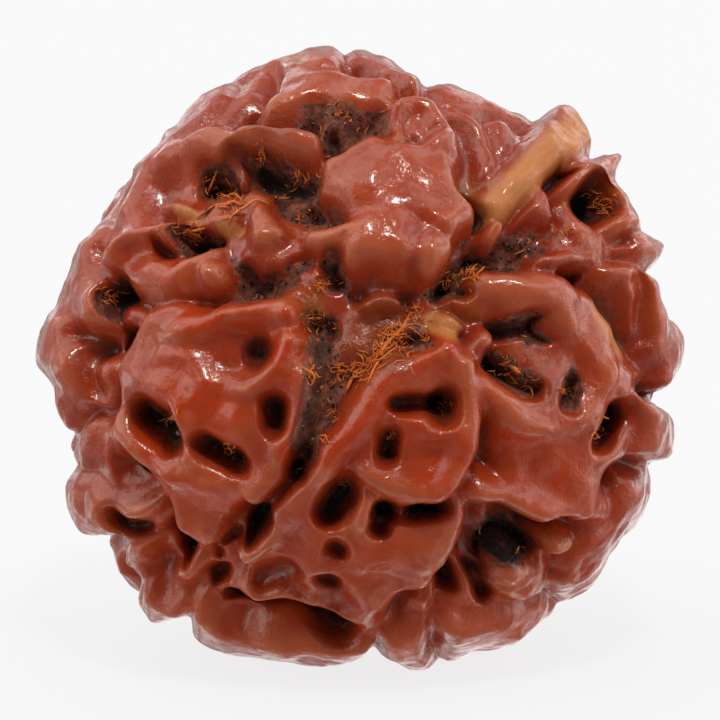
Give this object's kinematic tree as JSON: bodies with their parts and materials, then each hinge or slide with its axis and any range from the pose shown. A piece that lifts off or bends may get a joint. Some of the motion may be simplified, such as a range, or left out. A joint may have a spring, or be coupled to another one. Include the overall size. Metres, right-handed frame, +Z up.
{
  "type": "rudraksha seed",
  "caption": "Round, deeply folded and pitted dried fruit stone with grooves from pole to pole and a small flat spot to rest on.",
  "frame": {"origin": "middle of the bounding box's base, on the surface that the seed rests on", "axes": "+Z up, +X along the widest way, -Y towards the face with the mouth, which looks up by 15 degrees"},
  "size_m": [0.0256, 0.0216, 0.0239],
  "materials": {
    "shell": "oiled, glossy, with darker pits"
  },
  "bodies": {
    "root": {"seed": "shell"}
  },
  "joints": []
}
